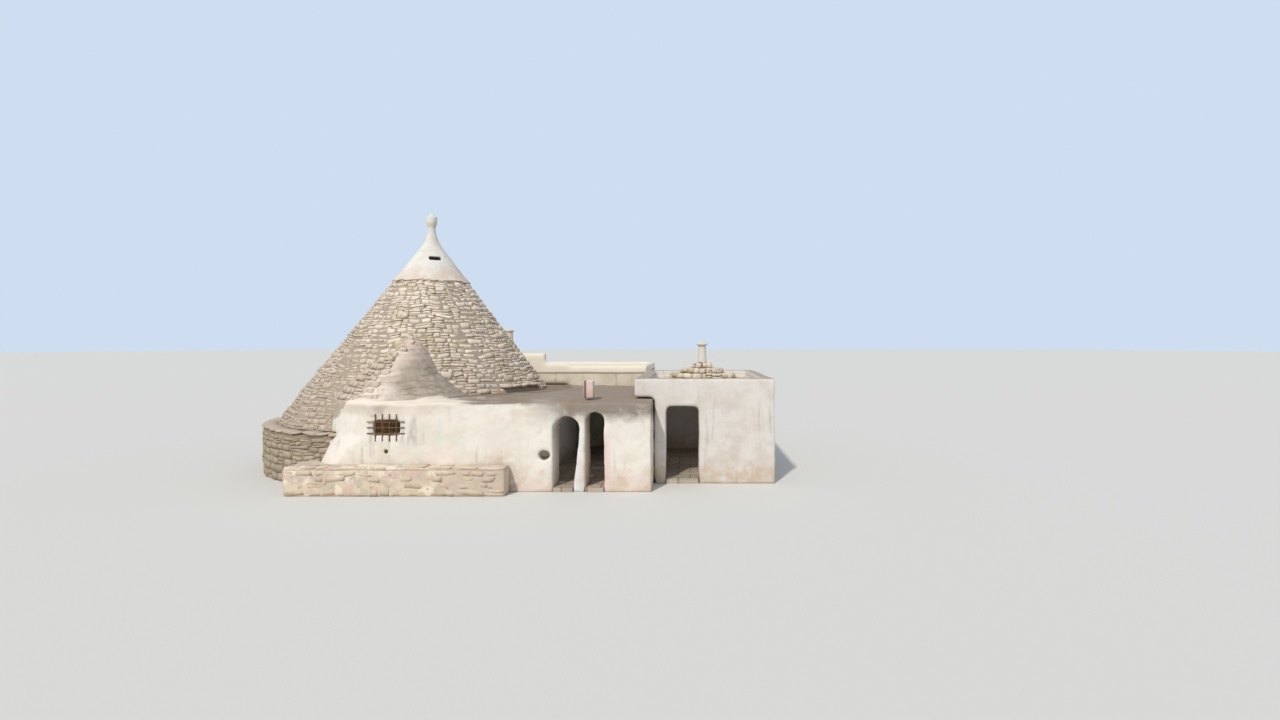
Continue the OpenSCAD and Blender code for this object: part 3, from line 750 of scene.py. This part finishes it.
upper_stones = roof_stones("upper_roof_stones", 11, HAUNCH_Z, CAP_Z, 24, 0, math.tau,
                           lambda i: outside_alcove_cone if i else beside_roof_eave)
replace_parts(upper_stones, "upper_courses")
OPEN_FROM, OPEN_TO = math.radians(116), math.radians(266)
lower_stones = roof_stones("lower_roof_stones", 12, EAVE_Z, HAUNCH_Z, 6, OPEN_FROM, OPEN_TO)
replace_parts(lower_stones, "lower_courses")

# %% [markdown]
# ## Eave slabs and drum wall
# Flat slabs stand out under the roof to throw the rain off the rubble wall, and cast the thin dark line
# that runs round the house. Where the low eave meets the rear room, the wall rises to the flat roofs,
# and deep stones reach right through that end, like a quoin.

# %% Eave slabs
eaves = Stonework(13)


def slab_row(radius, middle_z, start_angle, length, top, wide, deep, thickness, out):
    """Flat slabs side by side along a round eave."""
    rim = round_place(radius, middle_z, 0, first=start_angle, wave=0.4)
    for start in np.arange(0, length - 0.2, wide):
        low = top - eaves.chance.uniform(*thickness)
        eaves.stone(rim, start, start + wide - 0.02, low, top, deep, eaves.chance.uniform(*out))


LOW_RIM_R, ROOF_RIM_R = 4.405, roof_r(2.245) + 0.165
slab_row(LOW_RIM_R, 1.26, OPEN_FROM, LOW_RIM_R * (OPEN_TO - OPEN_FROM), 1.292, 0.42, 0.42,
         (0.052, 0.07), (-0.05, -0.012))
slab_row(ROOF_RIM_R, 2.285, math.radians(-38), ROOF_RIM_R * math.radians(30), 2.325, 0.36, 0.32,
         (0.055, 0.075), (-0.05, 0))
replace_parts(eaves.piece("eave_stones", roof_stone, "eave_stone"), "eave_slabs")

# %% Drum wall on the open side, and its raised end
DRUM_R = 4.33
drum = Stonework(14)
heights = [0, 0.22, 0.42, 0.6, 0.79, 0.95, 1.05, 1.15]
drum_face = round_place(DRUM_R + 0.025, 0, 0, first=OPEN_FROM, wave=0.2)
for low, high in pairwise(heights):
    drum.course(drum_face, DRUM_R * (OPEN_TO - OPEN_FROM), low, high, 0.34, 0.16, thin=0.35, proud=0.02,
                gap=0.02)
drum.piece("drum_wall_stones", wall_stone, "rubble_stone")
quoin = Stonework(18)
quoin_face = round_place(DRUM_R + 0.02, 0, 0, first=math.radians(109), wave=0.2)
heights = np.linspace(0, HAUNCH_Z - 0.01, 14)
for low, high in pairwise(heights):
    length = DRUM_R * math.radians(7.6 + quoin.chance.uniform(-0.4, 0.4))
    deep = 0.86 if low > EAVE_Z - 0.1 else 0.2
    quoin.course(quoin_face, length, low, high, 0.28, deep, thin=0.2, proud=0.015, gap=0.02)
quoin.piece("drum_quoin_stones", wall_stone, "rubble_stone")

# %% [markdown]
# ## The alcove's cone
# The half cone over the alcove has the same stones, but mortar was smeared over it, so only the left
# side shows them, half buried. The mortar follows with the other plaster coats.

# %% Roof stones of the alcove
MORTAR_X, MORTAR_BACK, MORTAR_HOLLOW = ALCOVE_X + 0.35, 0.12, 1.15


def small_profile(radius, height, bulge):
    """Foot radius, foot height and height of each course of a small cone."""
    count = round(height / COURSE_H)
    step = height / count
    return [(radius * (1 - i / count) ** bulge, i * step, step) for i in range(count)]


def small_cone_stones(work, radius, height, centre, base, bulge, keep=None, wide=0.28):
    """Lays a small cone, with stones deep enough to reach under the next ones."""
    rows = small_profile(radius, height, bulge)
    deep = max(0.16, 1.15 * radius / len(rows))
    for i, (foot, z, step) in enumerate(rows):
        if foot > 0.12:
            place = round_place(foot, base + z, COURSE_LEAN / step, centre, first=i * 1.3, wave=0.5)
            work.course(place, foot * math.tau, base + z, base + z + step, min(wide, foot * 0.8),
                        min(deep, foot * 0.8), keep=keep)


def left_of_mortar(x, y, z):
    """Whether a stone shows: not in the great cone, nor under the mortar."""
    edge = MORTAR_X - 0.42 + 0.35 * noise.noise((2 * x, 2 * y, 3 * z))
    return math.hypot(x, y) > roof_r(z) - 0.12 and x < edge


alcove = Stonework(15)
alcove_cones = (((ALCOVE_X, ALCOVE_Y), ALCOVE_R, ALCOVE_CONE_H), ((ALCOVE_X, CROWN_Y), CROWN_R, CROWN_H))
for centre, radius, height in alcove_cones:
    small_cone_stones(alcove, radius, height, centre, HAUNCH_Z, 0.8, left_of_mortar, 0.26)
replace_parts(alcove.piece("alcove_roof_stones", alcove_stone, "weathered_mortar"), "alcove_roof")

# %% [markdown]
# ## Small cones on the flat roofs
# Two low cones of the same stonework stand on the rear room and on the side room.

# %% Small cones
small, FLAT_ROOF_Z, SMALL_BACK, SMALL_STEPS = Stonework(16), 2.35, 0.06, 64
bed_points, bed_faces = [], []
for centre, radius, height in (((0.95, 5.5), 1.15, 1.07), ((8.15, -0.9), 1.3, 0.56)):
    small_cone_stones(small, radius, height, centre, FLAT_ROOF_Z, 1)
    rows = [(max(0.01, foot - SMALL_BACK), FLAT_ROOF_Z + z)
            for foot, z, _ in small_profile(radius, height, 1)]
    rows.append((0.01, FLAT_ROOF_Z + height - SMALL_BACK))
    points, faces, bed_finish = turned_bed(rows, centre, steps=SMALL_STEPS, wave=0)
    bed_faces += [[v + len(bed_points) for v in face] for face in faces]
    bed_points += points
small_stones = small.piece("small_cone_stones", roof_stone, "roof_stone", (bed_points, bed_faces, bed_finish))
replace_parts(small_stones, "small_cone_courses")

# %% [markdown]
# ## The plaster coat
# The walls were plastered by hand, so their edges are soft and their faces wave. The solids of one part
# of the house are remeshed into one skin, and a slow noise moves each point, more inwards than outwards,
# so that the coat stays inside the solids.

# %% Making a plaster coat


def softened(points, edges, times_over):
    """Moves each point half way to the middle of its neighbours."""
    count = np.bincount(edges.ravel(), minlength=len(points))[:, None]
    for _ in range(times_over):
        total = [np.bincount(edges[:, 0], points[edges[:, 1], axis], len(points))
                 + np.bincount(edges[:, 1], points[edges[:, 0], axis], len(points)) for axis in range(3)]
        points = (points + np.stack(total, 1) / count) / 2
    return points


def applied(piece):
    """The piece's mesh with its modifiers worked out."""
    depsgraph = bpy.context.evaluated_depsgraph_get()
    piece.data = bpy.data.meshes.new_from_object(piece.evaluated_get(depsgraph))
    piece.modifiers.clear()
    return piece.data


def soft_share(value, start, end):
    """Goes straight from 0 to 1 between two marks."""
    return np.clip((value - start) / (end - start), 0, 1)


def waved(at, out, swell, inset, droop):
    """Points moved out and in by a slow noise. The droop is how far the top sags."""
    wave = np.array([noise.noise(0.9 * p) + 0.6 * noise.noise(2.6 * p + Vector((5, 1, 3)))
                     + 0.35 * noise.noise(7 * p) for p in map(Vector, at)])
    moved = at + out * (swell * (wave - inset))[:, None]
    sag = np.array([0.5 + noise.noise((0.7 * p[0] + 9, 0.7 * p[1], 0)) for p in at])
    sag = np.clip(sag, 0, 1) * soft_share(at[:, 1], -3.4, -4.2) + 3.2 * soft_share(at[:, 0], -0.75, -1.15)
    return moved, droop * sag * soft_share(at[:, 2], 1.75, 2.05)


def plaster_coat(name, node_names, look, grid, swell, more=None, soft=3, inset=0.6,
                 drill=None, droop=0):
    """One uneven skin over several solids, which it stands for. The drill cuts a hole too small for
    the grid."""
    shape = bmesh.new()
    for node in node_names:
        shape.from_mesh(nodes[node].data)
    if more:
        more(shape)
    bmesh.ops.remove_doubles(shape, verts=shape.verts, dist=1e-5)
    rough = bpy.data.meshes.new(name)
    shape.to_mesh(rough)
    shape.free()
    coat = shown(name, rough)
    skin = coat.modifiers.new("skin", "REMESH")
    skin.mode = "VOXEL"
    skin.voxel_size = grid
    made = applied(coat)
    made.materials.clear()
    made.materials.append(look)
    at, out = np.empty(3 * len(made.vertices)), np.empty(3 * len(made.vertices))
    edges = np.empty(2 * len(made.edges), int)
    made.vertices.foreach_get("co", at)
    made.edges.foreach_get("vertices", edges)
    first = at.reshape(-1, 3)
    at = softened(first, edges.reshape(-1, 2), soft)
    made.vertices.foreach_set("co", at.ravel())
    made.update()
    made.vertex_normals.foreach_get("vector", out)
    moved, sag = waved(at, out.reshape(-1, 3), swell, inset, droop)
    moved[:, 2] = np.where(first[:, 2] > 0.01, np.maximum(moved[:, 2], 0), 0) - sag
    made.vertices.foreach_set("co", np.clip(moved, *inside_box).ravel())
    made.polygons.foreach_set("use_smooth", [True] * len(made.polygons))
    if drill:
        cut = coat.modifiers.new("cut", "BOOLEAN")
        cut.operation, cut.object = "DIFFERENCE", drill
        made = applied(coat)
        bpy.data.objects.remove(drill)
    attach(coat, "root")
    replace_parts(coat, *node_names)
    print(name, 2 * len(made.polygons), "triangles")
    return coat


# %% [markdown]
# The mortar is one skin over the alcove's two cones, smooth on the right. On the left it lies a finger
# behind the stones' faces, and swells and sinks, so some stones stand out of it and others drown.

# %% Mortar over the alcove's cone


def add_faces(shape, points, faces):
    """Adds points and faces to a shape, all facing outwards."""
    corners = [shape.verts.new(point) for point in points]
    for face in faces:
        shape.faces.new([corners[v] for v in face])
    bmesh.ops.recalc_face_normals(shape, faces=shape.faces)


def smooth_step(value, start, end):
    """Goes softly from 0 to 1 between two marks."""
    share = min(1, max(0, (value - start) / (end - start)))
    return share * share * (3 - 2 * share)


def mortar_radius(radius, share, x):
    """Radius of the mortar: stepped on the left, smooth on the right."""
    cover = smooth_step(x, MORTAR_X - 1.3, MORTAR_X - 0.6)
    left = radius * (1 - share) ** 0.8 - 0.04 + 0.055 * cover
    right = (radius - MORTAR_BACK) * (1 - share) ** MORTAR_HOLLOW
    ridge = min(1, max(0, 0.45 + 1.6 * noise.noise((2.2 * x, 5 * share, radius))))
    left += 0.05 * ridge * (0.5 - share * (9.5 if radius > 1.5 else 11.6) % 1)
    blend = smooth_step(x, MORTAR_X - 0.35, MORTAR_X + 0.45)
    return left * (1 - blend) + right * blend


def add_mortar(shape):
    """Adds the two cones as solids, which the remesh joins."""
    rows, around = 81, 128
    for (x, y), radius, height in alcove_cones:
        points = []
        for j in range(rows):
            share = min(0.995, j / (rows - 1))
            for i in range(around):
                angle = math.tau * i / around
                out = radius * (1 - share)
                for _ in range(3):
                    out = mortar_radius(radius, share, x + out * math.cos(angle))
                points.append((x + out * math.cos(angle), y + out * math.sin(angle),
                               HAUNCH_Z - 0.35 * (j == 0) + share * height))
        add_faces(shape, points, tube(rows, around))


# %% [markdown]
# The plaster of the alcove's wall runs up over the foot of its cone and thins out, so no hard edge
# shows. It is a ring along the cone, a little proud at its foot and a little behind at its wandering
# top. Lintels join the coat of their room, and a rough rod drills the small hole.

# %% Plaster that creeps up the alcove's cone, lintels and the small hole


def add_creep(shape):
    """A shell of plaster on the alcove's cone with a wandering top."""
    points, turns = [], range(-176, -30, 3)
    for degrees in turns:
        angle = math.radians(degrees)
        front = 1.665 if degrees < -100 else min(2.1, 1.69 / -math.sin(angle))
        reach = 0.2 + 0.3 * math.exp(-((degrees + 112) / 20) ** 2)
        reach += 0.1 * noise.noise((degrees * 0.09, 2, 0))
        ring = [(1, HAUNCH_Z - 0.3), (front, HAUNCH_Z - 0.3)]
        for share in (0, 0.2, 0.45, 0.7, 1):
            cone = mortar_radius(ALCOVE_R, reach * share / ALCOVE_CONE_H,
                                 ALCOVE_X + ALCOVE_R * math.cos(angle)) + 0.07 - 0.11 * share
            ring.append((cone + max(0, front - cone) * (1 - share) ** 3, HAUNCH_Z - 0.02 + reach * share))
        ring.append((1, HAUNCH_Z + reach))
        points += [(ALCOVE_X + r * math.cos(angle), ALCOVE_Y + r * math.sin(angle), z) for r, z in ring]
    add_faces(shape, points, tube(len(turns), 8))


def add_lintel(right_of, left_of):
    """Gives a step that adds the door lintels between two marks along X."""

    def step(shape):
        before = set(shape.verts)
        shape.from_mesh(nodes["door_lintels"].data)
        away = [v for v in shape.verts if v not in before and not right_of < v.co.x < left_of]
        bmesh.ops.delete(shape, geom=away, context="VERTS")

    return step


def hole_drill():
    """A rough rod for the small hole in the alcove's wall."""
    points, hole_x, hole_z, around = [], 0.72, 0.94, 14
    for y in (-5, -4.6, -4):
        for i in range(around):
            a = math.tau * i / around
            r = 0.05 + 0.012 * noise.noise((2 * math.cos(a), 2 * math.sin(a), y))
            points.append((hole_x + r * math.cos(a), y, hole_z + r * math.sin(a)))
    return shown("drill", outward_mesh("drill", points, tube(3, around)))


# %% Coats of the front, the side room and the rear room
plaster_coat("front_plaster", ["alcove_wall", "facade_wall", "arcade_pier", "arcade_end_pier",
                               "arcade_arches", "front_side_wall", "front_roof"],
             limewash, 0.042, 0.022, add_creep, drill=hole_drill(), droop=0.06)
plaster_coat("side_room_plaster", ["side_front_wall", "side_right_wall", "side_back_wall", "side_roof",
                                   "side_coping"], far_limewash, 0.06, 0.016,
             add_lintel(7, 9))
rear_coat = plaster_coat("rear_room_plaster", ["rear_front_wall", "rear_side_wall", "rear_back_wall",
                                               "rear_left_wall", "rear_roof", "rear_parapet"],
                         parapet_plaster, 0.07, 0.016, add_lintel(4, 6))
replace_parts(rear_coat, "door_lintels")
flank = plaster_coat("alcove_roof_mortar", [], mortar, 0.028, 0.03, add_mortar, soft=1,
                     inset=0.1)
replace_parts(flank, "mortar_slope")
plaster_coat("chimney_coat", ["chimney"], chimney_plaster, 0.02, 0.006)
plaster_coat("small_pinnacle_coat", ["small_pinnacles"], cap_limewash, 0.02, 0.004, soft=1)

# %% [markdown]
# The flat roof meets the round wall along a curve. On a real roof one screed of mortar runs over both,
# so a low strip of it covers the joint.

# %% Screed over the joint of the flat roof
angle = np.linspace(math.radians(-61), math.radians(51), 91)
screed = []
for out, rise in ((-0.16, -0.004), (-0.05, 0.009), (0.06, 0.008), (0.24, -0.024)):
    wander = np.array([0.05 * noise.noise((6 * a, 4 * out, 2)) for a in angle])
    screed += turned(DRUM_R + out + wander, angle, HAUNCH_Z + rise).tolist()
make_piece("roof_screed", screed, strips(4, len(angle), seam=False), [limewash])
print("screed over the joint:", len(screed), "points")

# %% [markdown]
# The cap is a smooth limewashed cone with a thin neck, a vase-shaped head and a knob. Its hem was
# smeared over the top stones by hand, so it hangs unevenly.

# %% Cap and pinnacle


def add_hem(shape):
    """An uneven ring of plaster over the top course."""
    points, steps = [], 96
    for i in range(steps):
        angle = math.tau * i / steps
        x, y = math.cos(angle), math.sin(angle)
        drop = 0.055 + 0.05 * noise.noise((3 * x, 3 * y, 0))
        drop += 0.03 * noise.noise((9 * x, 9 * y, 4))
        low, high = CAP_Z - drop, CAP_Z + 0.16
        points += [(r * x, r * y, z) for r, z in ((roof_r(low) - 0.08, low), (roof_r(low) + 0.03, low),
                                                  (roof_r(high) + 0.004, high), (roof_r(high) - 0.08, high))]
    add_faces(shape, points, strips(steps, 4, hoop=True))


plaster_coat("cap_and_pinnacle", ["roof_cap", "pinnacle"], cap_limewash, 0.018, 0.006,
             add_hem, soft=2)

# %% [markdown]
# ## Bench
# A low bench of rubble runs along the front. Its blocks show through worn plaster, and thin slabs cover
# its top.

# %% Bench
BENCH_LEFT, BENCH_FRONT, BENCH_L = -1.415, -5.337, 5.03
plaster_coat("bench_core", ["bench"], bench_mortar, 0.04, 0.022, inset=0.75)
bench = Stonework(17)


def bench_front(along, out, up):
    """A point on the bench's front face."""
    wave = 0.006 * np.sin(1.7 * along + 2 * up)
    return np.stack([BENCH_LEFT + along, BENCH_FRONT - out + wave, up + 0.007 * np.sin(2.3 * along)], 1)


for low, high in pairwise([0.01, 0.17, 0.32, 0.46, 0.585]):
    bench.course(bench_front, BENCH_L, low, high, 0.33, 0.12, thin=0.2, proud=0.01, gap=0.03)
bench.course(bench_front, BENCH_L, 0.6, 0.66, 0.55, 0.3, thin=0, proud=0.004, gap=0.012)
bench.piece("bench_stones", bench_stone, "bench_plaster")

# %% [markdown]
# ## Window grille
# Square iron bars, hand forged: bent, thick and thin, and rusty. The level bars reach past the opening.

# %% Grille
grille_low, grille_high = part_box("window_grille")
BAR, LEVEL_APART, UPRIGHT_APART = 0.022, 0.134, 0.162


def bar(points, start, end, seed):
    """Adds the points of a bent bar, and gives its faces."""
    start, end, first = Vector(start), Vector(end), len(points)
    run = (end - start).normalized()
    side = run.orthogonal().normalized()
    other = run.cross(side)
    for i in range(15):
        at = start.lerp(end, i / 14)
        bend = 0.008 * math.sin(math.pi * i / 14) * noise.noise((i * 0.35, seed, 0)) * 2
        at = at + side * bend + other * 0.5 * bend
        thick = BAR / 2 * (1 + 0.18 * noise.noise((i * 0.8, seed, 5)))
        for k in range(8):
            a = math.tau * (k + 0.5) / 8
            points.append(at + thick * 1.12 * (side * math.cos(a) + other * math.sin(a)))
    return [[first + v for v in face] for face in tube(15, 8)]


points, faces = [], []
mid_x, mid_y, mid_z = ((a + b) / 2 for a, b in zip(grille_low, grille_high))
for i in (-1, 0, 1):
    z = mid_z + i * LEVEL_APART
    faces += bar(points, (grille_low.x, mid_y, z), (grille_high.x, mid_y, z), 3.7 * i + 1)
for i in (-1.5, -0.5, 0.5, 1.5):
    x, y = mid_x + i * UPRIGHT_APART, mid_y + 0.006
    faces += bar(points, (x, y, grille_low.z), (x, y, grille_high.z), 5 * i)
grille = make_piece("grille_bars", points, faces, [rusty_iron])
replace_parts(grille, "window_grille")

# %% [markdown]
# ## What stays as it is
# The walls and rings inside, and the floors, have the right shape and only get a finish. The drum wall
# is stone outside and white inside, by the distance from the axis.

# %% Finishes of the solids that stay
from_axis = vectors("LENGTH", vectors("MULTIPLY", place, (1, 1, 0)), out="Value")
drum_finish = finish("drum_wall_finish", 0.9, (160, 144, 124),
                     [(blots(5, 0.4, 0.65), (128, 112, 96)),
                      (between(from_axis, 3.5, 3.4), (218, 211, 198))],
                     0.012, Coarse=8, Fine=70)
for look, names in ((drum_finish, ("drum_wall_left_rear", "drum_wall_left_front", "drum_wall_rear")),
                    (inner_plaster, ("drum_wall_right_front", "drum_doorway", "drum_wall_right",
                                     "corbelled_dome", "corbel_rings", "small_cones")),
                    (paving, ("main_floor", "front_floor", "rear_floor", "side_floor"))):
    for name in names:
        nodes[name].data.materials.clear()
        nodes[name].data.materials.append(look)
print("solids that stay:", sum(not node.hide_render for node in nodes.values()))

# %% [markdown]
# The floor is a wide pale sheet that takes the shadow of the house.

# %% Floor
floor_mesh = bpy.data.meshes.new("floor")
floor_mesh.from_pydata([(-300, -60, -0.002), (300, -60, -0.002), (300, 500, -0.002), (-300, 500, -0.002)],
                       [], [(0, 1, 2, 3)])
floor_mesh.materials.append(finish("floor_finish", 0.9, (214, 212, 206)))
shown("floor", floor_mesh)
